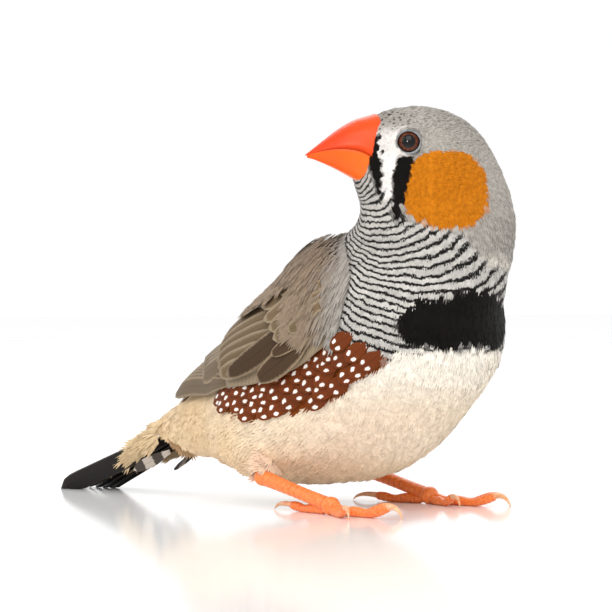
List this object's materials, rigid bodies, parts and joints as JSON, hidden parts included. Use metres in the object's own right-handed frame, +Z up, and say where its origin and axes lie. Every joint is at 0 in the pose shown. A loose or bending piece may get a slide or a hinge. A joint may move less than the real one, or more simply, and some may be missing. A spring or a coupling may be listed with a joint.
{
  "type": "zebra finch model",
  "caption": "Life-size still model of a male zebra finch crouching on a floor, wings and tail closed, its head turned back over the right shoulder.",
  "frame": {"origin": "on the floor under the middle of the model's outline", "axes": "+X towards the bird's left, +Y towards its tail, +Z up; the breast faces -Y"},
  "size_m": [0.0365, 0.0874, 0.052],
  "materials": {
    "body_plumage": "soft white to buff down with a black breast band and chestnut, white-spotted flanks",
    "barred_plumage": "soft grey down with fine wavy black bars",
    "head_plumage": "short soft grey down with an orange cheek, a white lore and a black tear line",
    "eye": "wet and glossy, dark red-brown round a black pupil",
    "bill": "smooth semi-gloss orange-red horn",
    "legs": "satin orange scaled skin with pale horn claws",
    "wing_feathers": "matt grey-brown flight feathers with pale edges",
    "tail_feathers": "matt black feathers with white-barred coverts over their roots"
  },
  "bodies": {
    "root": {"torso": "body_plumage", "neck": "barred_plumage", "head": "head_plumage", "eye_right": "eye", "eye_left": "eye", "bill_upper": "bill", "bill_lower": "bill", "leg_right": "legs", "leg_left": "legs", "foot_right": "legs", "foot_left": "legs", "wing_right": "wing_feathers", "wing_left": "wing_feathers", "tail": "tail_feathers"}
  },
  "joints": []
}
